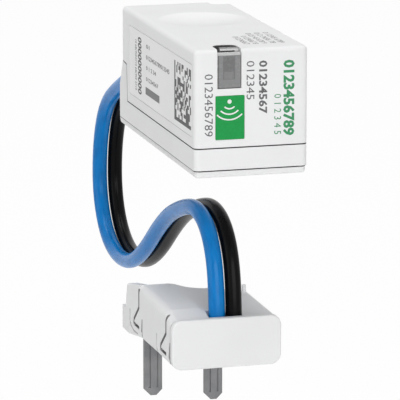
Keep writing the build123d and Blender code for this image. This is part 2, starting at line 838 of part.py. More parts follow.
# Plug cover: the front plate and the hollow-topped shell behind it
with BuildPart() as plug_cover:
    with BuildSketch(Plane.XZ.offset(plug_front)) as plate_outline:
        with Locations((0, plate_height / 2)):
            RectangleRounded(module_width, plate_height, plate_corner)
    extrude(amount=-plate_thickness)
    fillet(plug_cover.faces().sort_by(Axis.Y)[0].edges(), radius=plate_edge)
    with BuildSketch(Plane.XZ.offset(-plug_cavity_y)):
        with Locations((0, plate_height / 2)):
            RectangleRounded(module_width - 2 * neck_inset, plate_height - 2 * neck_inset, plate_corner)
    extrude(amount=-neck_length)
    body_y = plug_cavity_y + neck_length
    nose_y = body_y + nose_length
    half_nose_y = body_y + nose_length / 2
    loft(
        [
            top_outline(body_y, shoulder_front, shoulder_round_front, dip_front, low_round_front),
            top_outline(
                half_nose_y, shoulder_back - nose_fall, shoulder_round_front, dip_back, low_round_front
            ),
            top_outline(nose_y, shoulder_back, shoulder_round_front, dip_back, low_round_front),
        ],
        ruled=True,
    )
    loft(
        [
            top_outline(nose_y, shoulder_back, shoulder_round_front, dip_back, low_round_front),
            top_outline(block_y, shoulder_back, shoulder_round_back, dip_back, low_round_back),
        ],
        ruled=True,
    )
    block(
        (half_width - rim_width, block_y - post_depth, rim_height - rim_width),
        (half_width, block_y, post_height),
    )
    front_lug_y = plate_y + front_lug_setback
    add_lug(front_lug_y, front_lug_y + lug_depth)
    add_lug(rear_lug_y, block_y)
    # cavity, closed below by the base and open at the back for the conductors
    block(
        (-plug_cavity_half, plug_cavity_y, -overrun),
        (plug_cavity_half, block_y - plug_wall, plug_cavity_top),
        mode=Mode.SUBTRACT,
    )
    block(
        (-plug_cavity_half, plug_cavity_y, -overrun),
        (plug_cavity_half, block_y + overrun, foot_height),
        mode=Mode.SUBTRACT,
    )
    # slot for the leads, just behind the plate
    slot_half = lead_pitch / 2 + lead_diameter / 2 + lead_relief
    block(
        (lead_offset - slot_half, plug_cavity_y, plug_cavity_top - overrun),
        (
            lead_offset + slot_half,
            plug_cavity_y + lead_diameter + 2 * lead_relief,
            shoulder_back + overrun,
        ),
        mode=Mode.SUBTRACT,
    )
    cut_slit(front_slit_setback, front_slit_top)
    cut_slit(joint_setback, slit_top)
    for line_y in (front_lug_y, front_lug_y + lug_depth, rear_lug_y):
        cut_lug_line(line_y)
save(plug_cover.part, "plug_cover")

# Plug base: the floor, the rear block that holds the pins, the wall on its left and the foot behind it
with BuildPart() as plug_base:
    with BuildSketch(Plane.YZ.offset(-half_width)) as tab_side:
        with BuildLine():
            Polyline(
                (block_y, low_round_back),
                (block_y, shoulder_back),
                (block_y + tab_run, shoulder_back - tab_fall),
                (block_back_y, foot_height),
                (block_back_y, low_round_back),
                close=True,
            )
        make_face()
    extrude(amount=plug_wall)
    tab_edges = plug_base.edges().filter_by_position(Axis.X, -half_width, -half_width)
    upper = tab_edges.filter_by_position(Axis.Z, foot_height, shoulder_back, inclusive=(False, False))
    sloping = upper.filter_by(lambda edge: abs((edge % 0).Y) > abs((edge % 0).Z))
    fillet(sloping, radius=tab_round)
    # the underside falls from the joint to the foot
    foot_front_y = block_back_y - foot_lap
    loft(
        [
            base_outline(block_y, 0, low_round_back),
            base_outline(foot_front_y, foot_drop, foot_edge),
        ],
        ruled=True,
    )
    extrude(base_outline(foot_front_y, foot_drop, foot_edge), amount=foot_front_y - foot_back_y)
    block(
        (-half_width + plug_wall, block_y, foot_height),
        (half_width, block_back_y - block_lean, block_top),
    )
    block(
        (-plug_cavity_half + fit_gap, plug_cavity_y + fit_gap, 0),
        (plug_cavity_half - fit_gap, block_y, plug_floor),
    )
    # seat for the gland
    gland_z = plug_cavity_top - gland_height
    block(
        (lead_offset - gland_width / 2, plug_cavity_y + fit_gap, plug_floor),
        (lead_offset + gland_width / 2, plug_cavity_y + fit_gap + gland_length, gland_z),
    )
    rear_lug_end = rear_lug_y + lug_depth
    add_lug(block_y, rear_lug_end)
    # blind slots for the pins, and bores for the crimped conductors
    for x, y in ((-pin_x, rear_pin_y), (pin_x, front_pin_y)):
        block(
            (x - pin_width / 2 - pin_fit, y - pin_thickness / 2 - pin_fit, -foot_drop - overrun),
            (x + pin_width / 2 + pin_fit, y + pin_thickness / 2 + pin_fit, pin_root + pin_fit),
            mode=Mode.SUBTRACT,
        )
        bore_end = y - pin_thickness / 2
        bore_middle = (block_y + bore_end) / 2
        with Locations(Location((x, bore_middle, crimp_z), (90, 0, 0))):
            Cylinder(crimp_radius + fit_gap, bore_end - block_y, mode=Mode.SUBTRACT)
    cut_slit(joint_setback, slit_top)
    cut_lug_line(rear_lug_end)
save(plug_base.part, "plug_base")


def pin(x, y):
    """A flat blade with a chamfered tip and two grooves in each face."""
    with BuildPart() as blade:
        block(
            (x - pin_width / 2, y - pin_thickness / 2, -pin_reach),
            (x + pin_width / 2, y + pin_thickness / 2, pin_root),
        )
        tip = blade.faces().sort_by(Axis.Z)[0]
        chamfer(tip.edges().filter_by(Axis.Y), length=pin_chamfer)
        for face_y in (y - pin_thickness / 2, y + pin_thickness / 2):
            for across in (-pin_groove_spacing / 2, pin_groove_spacing / 2):
                block(
                    (
                        x + across - pin_groove_width / 2,
                        face_y - pin_groove_depth,
                        -pin_reach + pin_groove_margin,
                    ),
                    (x + across + pin_groove_width / 2, face_y + pin_groove_depth, 0),
                    mode=Mode.SUBTRACT,
                )
    return blade.part


save(pin(-pin_x, rear_pin_y), "rear_pin")
save(pin(pin_x, front_pin_y), "front_pin")

# Crimps: a short barrel on each conductor's end, against the front of its pin
with BuildPart() as pin_crimps:
    for x, y in ((-pin_x, rear_pin_y), (pin_x, front_pin_y)):
        crimp_y = y - pin_thickness / 2 - crimp_length / 2
        with Locations(Location((x, crimp_y, crimp_z), (90, 0, 0))):
            Cylinder(crimp_radius, crimp_length)
    for x, y in ((-pin_x, rear_pin_y), (pin_x, front_pin_y)):
        crimp_y = y - pin_thickness / 2 - crimp_length / 2
        with Locations(Location((x, crimp_y, crimp_z), (90, 0, 0))):
            Cylinder(conductor_diameter / 2 + pin_fit, crimp_length, mode=Mode.SUBTRACT)
save(pin_crimps.part, "pin_crimps")

# Gland in the plug: the leads end on its top, the conductors leave its back
with BuildPart() as plug_gland:
    gland_front_y = plug_cavity_y + fit_gap
    gland_back_y = gland_front_y + gland_length
    block(
        (lead_offset - gland_width / 2, gland_front_y, gland_z),
        (lead_offset + gland_width / 2, gland_back_y, plug_cavity_top),
    )
    fillet(plug_gland.edges().filter_by(Axis.Z), radius=edge_round / 2)
save(plug_gland.part, "plug_gland")

# Bare conductors from the gland back to the crimps
with BuildPart() as plug_conductors:
    conductor_z = gland_z + gland_height / 2
    for lead_x, x, y in ((blue_x, -pin_x, rear_pin_y), (black_x, pin_x, front_pin_y)):
        crimp_front = y - pin_thickness / 2 - crimp_length
        with BuildLine():
            wire = FilletPolyline(
                (lead_x, gland_back_y, conductor_z),
                (lead_x, gland_back_y + wire_step, conductor_z),
                (x, block_y - wire_step, crimp_z),
                (x, crimp_front + crimp_length - fit_gap, crimp_z),
                radius=wire_bend,
            )
        with BuildSketch(Plane(origin=wire @ 0, z_dir=wire % 0)):
            Circle(conductor_diameter / 2)
        sweep(path=wire)
save(plug_conductors.part, "plug_conductors")
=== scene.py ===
import bmesh
import bpy
import random
from math import cos, pi, radians, sin
from mathutils import Matrix, Vector


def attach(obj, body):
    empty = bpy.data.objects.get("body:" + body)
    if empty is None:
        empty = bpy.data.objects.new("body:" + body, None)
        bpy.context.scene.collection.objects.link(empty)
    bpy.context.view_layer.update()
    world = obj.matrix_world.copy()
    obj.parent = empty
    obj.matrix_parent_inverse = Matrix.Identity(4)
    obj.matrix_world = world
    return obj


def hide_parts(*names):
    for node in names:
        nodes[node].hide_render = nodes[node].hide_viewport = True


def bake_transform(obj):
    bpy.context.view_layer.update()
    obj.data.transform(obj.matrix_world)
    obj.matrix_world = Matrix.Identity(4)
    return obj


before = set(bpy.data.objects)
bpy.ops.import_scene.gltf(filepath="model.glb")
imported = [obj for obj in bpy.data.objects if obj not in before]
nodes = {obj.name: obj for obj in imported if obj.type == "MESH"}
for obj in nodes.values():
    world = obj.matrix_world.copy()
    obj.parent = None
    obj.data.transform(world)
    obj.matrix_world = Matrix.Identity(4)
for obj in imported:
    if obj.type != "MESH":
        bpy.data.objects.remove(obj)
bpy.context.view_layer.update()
mm = 0.001
print("frame loaded:", len(nodes), "nodes")


class Wire:  # a socket of a shader graph; adding or multiplying two of them adds a Math node
    def __init__(self, tree, socket=None):
        self.tree = tree
        self.socket = socket

    def add(self, kind, settings=None, sockets=None, out=0):  # any other node: its settings first, then its inputs
        node = self.tree.nodes.new(kind)
        for name, value in (settings or {}).items():
            setattr(node, name, value)
        for name, value in (sockets or {}).items():
            if isinstance(value, Wire):
                self.tree.links.new(value.socket, node.inputs[name])
            else:
                node.inputs[name].default_value = value
        return Wire(self.tree, node.outputs[out]) if node.outputs else self

    def maths(self, operation, *others):  # a Math node that takes this socket first
        return self.add("ShaderNodeMath", {"operation": operation}, dict(enumerate((self, *others))))

    def __add__(self, other):
        return self.maths("ADD", other)

    __radd__ = __add__

    def __mul__(self, other):
        return self.maths("MULTIPLY", other)

    __rmul__ = __mul__

    def __sub__(self, other):
        return self.maths("SUBTRACT", other)

    def __rsub__(self, other):
        return self.add("ShaderNodeMath", {"operation": "SUBTRACT"}, {0: other, 1: self})

    def __truediv__(self, other):
        return self.maths("DIVIDE", other)

    def ramp(self, low, high):  # 0 before low, 1 past high, smooth between
        return self.add("ShaderNodeMapRange", {"interpolation_type": "SMOOTHSTEP"},
                        {"Value": self, "From Min": low, "From Max": high})

    def inside(self, low, high, soft):
        return self.ramp(low - soft, low + soft) * (1 - self.ramp(high - soft, high + soft))

    def blend(self, first, second):  # first colour where this is 0, second where it is 1
        return self.add("ShaderNodeMix", {"data_type": "RGBA"}, {0: self, 6: first, 7: second}, 2)

    def noise(self, scale, detail=2.0, roughness=0.5, stretch=None):  # on a place
        place = self
        if stretch:
            place = self.add("ShaderNodeVectorMath", {"operation": "MULTIPLY"}, {0: self, 1: stretch})
        return self.add("ShaderNodeTexNoise", {},
                        {"Vector": place, "Scale": scale, "Detail": detail, "Roughness": roughness})

    def bump(self, distance, strength=1.0):
        return self.add("ShaderNodeBump", {}, {"Height": self, "Strength": strength, "Distance": distance})

    def axes(self):
        return [self.add("ShaderNodeSeparateXYZ", {}, {0: self}, axis) for axis in "XYZ"]

    def millimetres(self):
        return [axis / mm for axis in self.axes()]


def onLine(y, z, points, reach):  # 1 within reach of the line through the points; y, z and reach in millimetres
    nearest = None
    for (startY, startZ), (endY, endZ) in zip(points, points[1:]):
        runY, runZ = endY - startY, endZ - startZ
        square = runY ** 2 + runZ ** 2
        share = (y - startY) * (runY / square) + (z - startZ) * (runZ / square)
        share = share.maths("MINIMUM", 1.0).maths("MAXIMUM", 0.0)
        gapY = y - startY - share * runY
        gapZ = z - startZ - share * runZ
        gap = (gapY * gapY + gapZ * gapZ).maths("SQRT")
        nearest = nearest.maths("MINIMUM", gap) if nearest else gap
    return 1 - nearest.ramp(reach * 0.75, reach * 1.25)


def rgb(red, green, blue):
    return (red, green, blue, 1.0)


def grey(level):
    return rgb(level, level, level)


def makeFinish(name, shading):  # shading gets the graph and the place on the piece, and gives the shader's sockets
    material = bpy.data.materials.new(name)
    material.use_nodes = True
    tree = material.node_tree
    tree.nodes.clear()
    graph = Wire(tree)
    shader = graph.add("ShaderNodeBsdfPrincipled", {}, shading(graph, graph.add("ShaderNodeTexCoord", out="Object")))
    graph.add("ShaderNodeOutputMaterial", {}, {"Surface": shader})
    return material


def makeSpeckled(name, look):  # one noise blends the colours, spreads the roughness and roughens the surface
    def shading(graph, place):
        speckle = place.noise(look["scale"], look["detail"])
        return {
            "Base Color": speckle.ramp(*look["fade"]).blend(*look["colours"]),
            "Roughness": look["roughness"] + look["spread"] * (speckle - 0.5),
            "Normal": speckle.bump(look["depth"], look["strength"]),
            **look.get("also", {}),
        }
    return makeFinish(name, shading)


def dress(material, *names):  # a node of the frame keeps its shape and gets a finish
    for name in names:
        for slot in nodes[name].material_slots:
            slot.material = material


# mouldings

shellLook = {  # places in millimetres
    "colours": (rgb(0.800, 0.803, 0.806), rgb(0.775, 0.777, 0.780)), "fade": (0.35, 0.70),
    "flow": 55.0, "smear": 220.0, "grain": 4200.0, "depth": 0.012 * mm, "strength": 0.6, "smearBump": 0.3,
    "roughness": 0.42, "smearSpread": 0.10, "grainSpread": 0.06, "gloss": 0.12, "index": 1.5,
    "seamShade": (), "sideShadeLines": (),  # painted shade lines along seams, slits and grooves, the side ones only in the side view: grey level, reach and points
    "sideFade": (64.0, 69.0),  # side shade lines come in between these squares of the distance from the middle
    "marks": None,
}
headSeamShade = (  # painted shade in the seams between cover, housing and base
    (0.10, 0.10, ((-60.0, 38.35), (0.975, 38.35))),
    (0.12, 0.11, ((-60.0, 34.85), (20.0, 34.85))),
)
# painted shade along the edge of the shroud, on the sides only
shroudEdgeShade = ((0.10, 0.10, ((0.975, 38.35), (1.475, 44.37), (4.9, 44.77))),)
headMarks = {  # the hollow in the top, with painted shade on its near side and a painted highlight on its far side, and painted shade in the hole under the window; in millimetres
    "hollow": (0.1, -12.0), "hollowFade": (56.0, 42.0),  # its middle, and squares of the distance from it
    "hollowTop": (52.7, 52.8), "hollowDepth": (-7.0, 7.0),
    # near: painted shade on the hollow's near side; far: painted highlight on its far side
    "near": rgb(0.740, 0.743, 0.746), "far": rgb(0.900, 0.902, 0.904),
    "hole": ((-5.34, -1.64, 0.02), (-39.97, -35.85, 0.10), (47.30, 53.48, 0.04)),  # low, high and softness
    # painted shade in the hole under the window
    "paintedShade": rgb(0.090, 0.090, 0.092),
}


def slitLine(start, top):  # the bent slit beside a catch of the plug
    return (start, top), (start, 5.3), (start + 2.9, 2.75), (start + 2.9, 2.0), (start - 0.4, 2.0)


# painted shade in the plug's two slits and along the grooves at its catches; the curve at the foot of the rear catch
# is painted shade with no groove under it
plugShadeLines = (
    (0.20, 0.31, slitLine(-23.05, 8.0)),
    (0.20, 0.31, slitLine(-5.9, 8.15)),
    (0.42, 0.16, ((-25.3, 0.9), (-25.3, 4.2))),
    (0.42, 0.26, ((-17.4, 0.9), (-17.4, 3.7))),
    (0.38, 0.18, ((-8.0, 0.9), (-8.0, 3.7))),
    (0.42, 0.32, ((-0.1, 3.5), (-0.35, 1.5))),
    (0.40, 0.16, ((-0.35, 1.5), (-0.5, 1.1), (-2.4, 0.62), (-4.9, 0.65))),
)


def shellShading(look):
    def shading(graph, place):
        flow = place.noise(look["flow"], detail=3.0)
        grain = place.noise(look["grain"], roughness=0.6)
        smear = place.noise(look["smear"])
        x, y, z = place.millimetres()
        colour = flow.ramp(*look["fade"]).blend(*look["colours"])
        side = (x * x).ramp(*look["sideFade"])
        # painted shade along seams, slits and grooves
        for level, reach, points in look["seamShade"]:
            colour = onLine(y, z, points, reach).blend(colour, grey(level))
        for level, reach, points in look["sideShadeLines"]:
            colour = (onLine(y, z, points, reach) * side).blend(colour, grey(level))
        marks = look["marks"]
        if marks:
            across, back = x - marks["hollow"][0], y - marks["hollow"][1]
            hollow = (across * across + back * back).ramp(*marks["hollowFade"]) * z.ramp(*marks["hollowTop"])
            # painted shade on the near side of the hollow and a painted highlight on its far side
            colour = hollow.blend(colour, back.ramp(*marks["hollowDepth"]).blend(marks["near"], marks["far"]))
            # painted shade in the hole under the window
            alongX, alongY, alongZ = (axis.inside(*limits) for axis, limits in zip((x, y, z), marks["hole"]))
            colour = (alongX * alongY * alongZ).blend(colour, marks["paintedShade"])
        spread = look["smearSpread"] * (smear - 0.5) + look["grainSpread"] * (grain - 0.5)
        return {
            "Base Color": colour,
            "Specular IOR Level": look["gloss"],
            "Roughness": look["roughness"] + spread,
            "Normal": (grain + look["smearBump"] * smear).bump(look["depth"], look["strength"]),
            "IOR": look["index"],
        }
    return shading


mouldings = {  # the nodes of each finish, and where its look differs
    "satinHeadShell": (("head_cover", "head_housing", "head_base"),
                       {"seamShade": headSeamShade, "sideShadeLines": shroudEdgeShade, "marks": headMarks}),
    "satinPlugShell": (("plug_cover", "plug_base"), {"sideShadeLines": plugShadeLines}),
    "greyInsertPlastic": (("lead_gland", "plug_gland"),
                          {"colours": (rgb(0.20, 0.20, 0.205), rgb(0.17, 0.17, 0.175)), "roughness": 0.50}),
    "blackSpoolPlastic": (("pickup_spool",),
                          {"colours": (rgb(0.020, 0.020, 0.021), rgb(0.014, 0.014, 0.015)), "roughness": 0.45}),
    "capacitorBoxPlastic": (("supply_capacitor",),
                            {"colours": (rgb(0.70, 0.42, 0.05), rgb(0.62, 0.36, 0.04)), "roughness": 0.38}),
    "indicatorBody": (("status_led",),
                      {"colours": (rgb(0.84, 0.80, 0.66), rgb(0.80, 0.74, 0.58)), "roughness": 0.30}),
}
for name, (parts, changes) in mouldings.items():
    dress(makeFinish(name, shellShading({**shellLook, **changes})), *parts)
print("mouldings dressed")


# the camera, fitted to the photo; the leads' route was measured against its view

cameraLook = {
    "place": (-141.2 * mm, -520.3 * mm, 140.15 * mm), "pitch": 12.41, "yaw": 15.49,  # degrees
    "lens": 301.8, "film": 36.0, "near": 0.01,
}
camera = bpy.data.objects.new("camera", bpy.data.cameras.new("camera"))
camera.data.lens = cameraLook["lens"]
camera.data.sensor_width = cameraLook["film"]
camera.data.clip_start = cameraLook["near"]
camera.location = cameraLook["place"]
camera.rotation_euler = (radians(90 - cameraLook["pitch"]), 0, radians(-cameraLook["yaw"]))
bpy.context.scene.collection.objects.link(camera)
bpy.context.scene.camera = camera


# leads

leadLook = {
    "diameter": 2.6 * mm, "drawn": 2.63 * mm, "length": 158.0 * mm, "sides": 36, "steps": 14,
    "route": [  # y and z in millimetres, from the back of the head to the plug
        (7.2, 39.15), (14.9, 39.15), (25.9, 38.15), (37.4, 34.15), (48.1, 29.15), (53.1, 20.95),
        (53.5, 11.15), (47.5, 4.3), (36.7, 2.6), (24.4, 6.05), (7.9, 16.95), (-3.5, 21.25),
        (-12.7, 23.15), (-20.3, 20.55), (-24.2, 13.35), (-24.2, 5.7),
    ],
    "bendFrom": (0.45 * mm, -24.2 * mm, 5.7 * mm), "bendTo": (0.45 * mm, 7.2 * mm, 39.15 * mm),
}
leads = {  # x in millimetres
    "blueLead": {"x": -0.95, "node": "blue_lead", "slot": "blue_insulation", "finish": "blueInsulation",
                 "colours": (rgb(0.004, 0.195, 0.550), rgb(0.003, 0.165, 0.480)), "gloss": 0.14},
    "blackLead": {"x": 1.85, "node": "black_lead", "slot": "black_insulation", "finish": "blackInsulation",
                  "colours": (rgb(0.0040, 0.0040, 0.0043), rgb(0.0028, 0.0028, 0.0030)), "gloss": 0.07},
}
insulationLook = {  # lines that the extruder leaves, and patches that are a little duller
    "stretch": 30.0, "lines": 5.0, "patches": 1.3, "patchStretch": (1, 1, 9), "fade": (0.35, 0.70),
    "roughness": 0.24, "lineSpread": 0.16, "patchSpread": 0.12,
    "patchBump": 0.5, "depth": 0.03 * mm, "strength": 0.5, "index": 1.5,
}


def insulationShading(colours, gloss):
    def shading(graph, place):  # on a ring that is drawn out along the lead
        look = insulationLook
        around, along = graph.add("ShaderNodeUVMap").axes()[:2]
        angle = around * (2 * pi)
        ring = graph.add("ShaderNodeCombineXYZ", {}, {
            "X": angle.maths("COSINE"), "Y": angle.maths("SINE"), "Z": along * look["stretch"]})
        lines = ring.noise(look["lines"], detail=3.0, roughness=0.6)
        patches = ring.noise(look["patches"], stretch=look["patchStretch"])
        spread = look["lineSpread"] * (lines - 0.5) + look["patchSpread"] * (patches - 0.5)
        return {
            "Base Color": patches.ramp(*look["fade"]).blend(*colours),
            "Roughness": look["roughness"] + spread,
            "Normal": (lines + look["patchBump"] * patches).bump(look["depth"], look["strength"]),
            "IOR": look["index"],
            "Specular IOR Level": gloss,
        }
    return shading


def leadLine(name, x):  # the smooth line through the route's control points
    curve = bpy.data.curves.new(name, "CURVE")
    curve.dimensions = "3D"
    spline = curve.splines.new("NURBS")
    spline.points.add(len(leadLook["route"]) - 1)
    for point, (y, z) in zip(spline.points, leadLook["route"]):
        point.co = (x * mm, y * mm, z * mm, 1)
    spline.order_u = 3
    spline.use_endpoint_u = True
    spline.resolution_u = leadLook["steps"]
    guide = bpy.data.objects.new(name, curve)
    line = bpy.data.meshes.new_from_object(guide)
    points = [vertex.co.copy() for vertex in line.vertices]
    bpy.data.objects.remove(guide)
    bpy.data.meshes.remove(line)
    return points


def newPiece(name, bm, material, smooth=True):
    mesh = bpy.data.meshes.new(name)
    bm.normal_update()
    bm.to_mesh(mesh)
    bm.free()
    mesh.materials.append(material)
    mesh.polygons.foreach_set("use_smooth", [smooth] * len(mesh.polygons))
    piece = bpy.data.objects.new(name, mesh)
    bpy.context.scene.collection.objects.link(piece)
    return piece


def makeLead(name, look):  # a tube along the line, with its turn and its length as texture places
    points = leadLine(name + "Line", look["x"])
    bm = bmesh.new()
    uv = bm.loops.layers.uv.new("around")
    sides, radius = leadLook["sides"], leadLook["drawn"] / 2
    across = Vector((1, 0, 0))
    rings, travelled = [], [0.0]
    for i, here in enumerate(points):
        before, after = points[max(i - 1, 0)], points[min(i + 1, len(points) - 1)]
        up = (after - before).normalized().cross(across).normalized()
        turns = [2 * pi * k / sides for k in range(sides)]
        rings.append([bm.verts.new(here + radius * (cos(turn) * across + sin(turn) * up)) for turn in turns])
        if i:
            travelled.append(travelled[-1] + (here - points[i - 1]).length)
    for i in range(len(rings) - 1):
        for k in range(sides):
            corners = ((k, i), (k + 1, i), (k + 1, i + 1), (k, i + 1))
            face = bm.faces.new([rings[step][side % sides] for side, step in corners])
            for loop, (side, step) in zip(face.loops, corners):
                loop[uv].uv = (side / sides, travelled[step])
    bm.faces.new(rings[0])
    bm.faces.new(rings[-1])
    bmesh.ops.recalc_face_normals(bm, faces=bm.faces)
    lead = newPiece(name, bm, makeFinish(look["finish"], insulationShading(look["colours"], look["gloss"])))
    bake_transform(lead)
    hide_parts(look["node"])
    print(name, "line", round(travelled[-1] / mm, 1), "mm")


for name, look in leads.items():
    makeLead(name, look)
print("leads made")


# pins

pinLook = {
    "colours": (rgb(0.165, 0.167, 0.172), rgb(0.210, 0.210, 0.215)), "blotches": 260.0, "fade": (0.40, 0.75),
    "drawing": 900.0, "stretch": (1, 1, 0.06),  # fine lines along the blades
    "roughness": 0.46, "drawnSpread": 0.14, "blotchSpread": 0.10, "depth": 0.012 * mm, "strength": 0.6,
}


def pinShading(graph, place):
    look = pinLook
    drawn = place.noise(look["drawing"], detail=3.0, roughness=0.6, stretch=look["stretch"])
    blotch = place.noise(look["blotches"], detail=3.0)
    return {
        "Base Color": blotch.ramp(*look["fade"]).blend(*look["colours"]),
        "Metallic": 1.0,
        "Roughness": look["roughness"] + look["drawnSpread"] * (drawn - 0.5) + look["blotchSpread"] * (blotch - 0.5),
        "Normal": drawn.bump(look["depth"], look["strength"]),
    }


dress(makeFinish("platedPinMetal", pinShading), "rear_pin", "front_pin")
print("pins dressed")


# inner pieces

metalLook = {
    "scale": 1400.0, "detail": 3.0, "fade": (0.35, 0.70), "spread": 0.15,
    "depth": 0.01 * mm, "strength": 0.5, "also": {"Metallic": 1.0},
}
metals = {
    "tinnedSheet": (("radio_shield", "antenna"),
                    {"colours": (rgb(0.62, 0.63, 0.64), rgb(0.52, 0.53, 0.54)), "roughness": 0.32}),
    "plainBrass": (("lead_terminals", "pin_crimps"),
                   {"colours": (rgb(0.62, 0.45, 0.16), rgb(0.50, 0.35, 0.12)), "roughness": 0.35}),
    "copperStrand": (("head_conductors", "plug_conductors"),
                     {"colours": (rgb(0.60, 0.27, 0.14), rgb(0.48, 0.20, 0.10)), "roughness": 0.34, "scale": 2600.0}),
    "sinteredFerrite": (("pickup_core",),
                        {"colours": (rgb(0.045, 0.045, 0.048), rgb(0.035, 0.035, 0.037)),
                         "roughness": 0.62, "scale": 3000.0}),
}
for name, (parts, changes) in metals.items():
    dress(makeSpeckled(name, {**metalLook, **changes}), *parts)

boardLook = {  # tracks under the solder mask, in patches
    "colours": (rgb(0.010, 0.105, 0.035), rgb(0.020, 0.165, 0.060)),
    "pitch": 1.6 * mm, "trackEdge": (0.14, 0.19), "wander": 0.004, "wanderScale": 90.0,
    "patches": 240.0, "patchEdge": (0.42, 0.46),
    "roughness": 0.32, "spread": 0.10, "grain": 1500.0, "depth": 0.03 * mm, "strength": 0.7,
}


def boardShading(graph, place):
    look = boardLook
    x = place.axes()[0] + look["wander"] * place.noise(look["wanderScale"], detail=1.0)
    stripes = (x / look["pitch"]).maths("PINGPONG", 0.5)
    track = stripes.ramp(*look["trackEdge"]) * place.noise(look["patches"], detail=0.0).ramp(*look["patchEdge"])
    return {
        "Base Color": track.blend(*look["colours"]),
        "Roughness": look["roughness"] + look["spread"] * (place.noise(look["grain"]) - 0.5),
        "Normal": track.bump(look["depth"], look["strength"]),
    }


dress(makeFinish("solderMask", boardShading), "main_board")

coilLook = {  # turns of enamelled wire side by side along x, each with painted shade between turns and a painted highlight along its middle
    "wire": 0.18 * mm, "colours": (rgb(0.50, 0.16, 0.06), rgb(0.62, 0.25, 0.10)), "metallic": 0.85,
    "roughness": 0.30, "spread": 0.10, "grain": 2000.0, "depth": 0.09 * mm, "strength": 0.9,
}


def windingShading(graph, place):
    look = coilLook
    turn = (place.axes()[0] / look["wire"]).maths("PINGPONG", 0.5)
    return {
        # painted shade between the turns and a painted highlight along the middle of each
        "Base Color": turn.ramp(0.0, 0.5).blend(*look["colours"]),
        "Metallic": look["metallic"],
        "Roughness": look["roughness"] + look["spread"] * (place.noise(look["grain"]) - 0.5),
        "Normal": turn.bump(look["depth"], look["strength"]),
    }


dress(makeFinish("enamelledWinding", windingShading), "pickup_winding")

sleeveLook = {  # a dark film with a pale stripe, smoother on the can's top; places in millimetres
    "film": rgb(0.006, 0.008, 0.030), "stripe": rgb(0.42, 0.43, 0.46), "stripeX": (4.6, 7.4, 0.05),
    "top": (45.9, 46.1), "topGloss": 0.05, "wrinkles": 700.0, "stretch": (1, 1, 0.3),
    "roughness": 0.33, "spread": 0.12, "depth": 0.03 * mm, "strength": 0.5,
}


def sleeveShading(graph, place):
    look = sleeveLook
    x, y, z = place.millimetres()
    wrinkle = place.noise(look["wrinkles"], stretch=look["stretch"])
    top = z.ramp(*look["top"])
    return {
        "Base Color": x.inside(*look["stripeX"]).blend(look["film"], look["stripe"]),
        "Roughness": look["roughness"] + look["spread"] * (wrinkle - 0.5) - look["topGloss"] * top,
        "Normal": wrinkle.bump(look["depth"], look["strength"]),
    }


dress(makeFinish("shrunkSleeve", sleeveShading), "storage_capacitor")

resistorLook = {  # places along x in millimetres
    "wire": rgb(0.60, 0.60, 0.60), "lacquer": rgb(0.24, 0.36, 0.26), "band": rgb(0.16, 0.05, 0.03),
    "body": (-0.9, 4.1, 0.02), "bands": ((0.0, 0.45, 0.03), (1.0, 1.45, 0.03), (2.0, 2.45, 0.03)),
    "grain": 1600.0, "roughness": 0.36, "spread": 0.12, "depth": 0.02 * mm, "strength": 0.4,
}


def resistorShading(graph, place):
    look = resistorLook
    x = place.millimetres()[0]
    body = x.inside(*look["body"])
    bands = sum(x.inside(*band) for band in look["bands"])
    grain = place.noise(look["grain"])
    return {
        "Base Color": body.blend(look["wire"], bands.blend(look["lacquer"], look["band"])),
        "Metallic": 1 - body,
        "Roughness": look["roughness"] + look["spread"] * (grain - 0.5),
        "Normal": grain.bump(look["depth"], look["strength"]),
    }


dress(makeFinish("resistorLacquer", resistorShading), "safety_resistor")

guideLook = {
    "colours": (rgb(0.90, 0.93, 0.94), rgb(0.84, 0.88, 0.90)), "scale": 900.0, "detail": 2.0, "fade": (0.30, 0.70),
    "roughness": 0.17, "spread": 0.10, "depth": 0.01 * mm, "strength": 0.4,
    "also": {"Transmission Weight": 0.85, "IOR": 1.49},
}
dress(makeSpeckled("clearGuide", guideLook), "light_guide")
print("inner pieces dressed")


# status window: painted shade in the well of the light guide behind the smoked pane, at the pane's left edge, in the
# slot, under and behind the catch and at its top rim; painted highlights on the pane's rounded top and on the catch's
# sloping face

windowLook = {  # in millimetres; two numbers are where a change starts and ends, three are low, high and softness
    # pane and guide are the window's own greys; the well, edge, dark and slot greys are painted shade, and the pale
    # grey is a painted highlight
    "pane": rgb(0.192, 0.194, 0.197), "wellShade": rgb(0.120, 0.121, 0.124), "guide": rgb(0.172, 0.173, 0.176),
    "edge": rgb(0.110, 0.110, 0.112), "paleHighlight": rgb(0.440, 0.442, 0.445),
    "paintedShade": rgb(0.060, 0.060, 0.062), "slot": rgb(0.006, 0.006, 0.006),
    "wellX": (-4.47, -2.58, 0.06), "wellZ": (48.87, 52.46, 0.06),
    "guideX": (-4.30, -2.80, 0.06), "guideZ": (48.95, 50.08, 0.06),
    "leftEdge": (-5.16, -5.06), "highlightStrip": (52.58, 52.66), "paneBack": (-39.38, -39.32),
    "slotX": (-4.60, -2.35, 0.10), "slotTop": (53.18, 53.12),
    "catchFoot": (52.90, 52.80), "catchRim": (53.34, 53.42), "catchBack": (-37.95, -37.90),
    "haze": 1100.0, "roughness": 0.22, "spread": 0.10, "depth": 0.006 * mm, "strength": 0.4, "index": 1.5,
}


